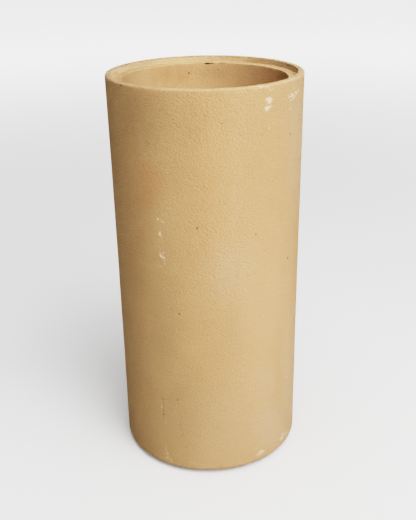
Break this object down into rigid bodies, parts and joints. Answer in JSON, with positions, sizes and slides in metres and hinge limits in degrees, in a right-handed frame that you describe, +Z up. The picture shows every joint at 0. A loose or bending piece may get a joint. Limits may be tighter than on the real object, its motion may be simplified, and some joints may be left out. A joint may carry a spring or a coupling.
{
  "type": "fireclay chimney pipe",
  "caption": "Round buff fireclay flue pipe: open straight bore, shallow rebated socket inside the upper rim, matching spigot below the lower shoulder.",
  "frame": {"origin": "on the pipe's axis, at the flat underside of the spigot it stands on", "axes": "+Z up along the pipe's axis, towards the socket; the pipe is round, so +X and +Y are free"},
  "size_m": [0.238, 0.238, 0.506],
  "materials": {
    "fireclay": "unglazed buff fired clay, matt, finely pitted, with a few white lime smears"
  },
  "bodies": {
    "root": {"chimney_pipe": "fireclay"}
  },
  "joints": []
}
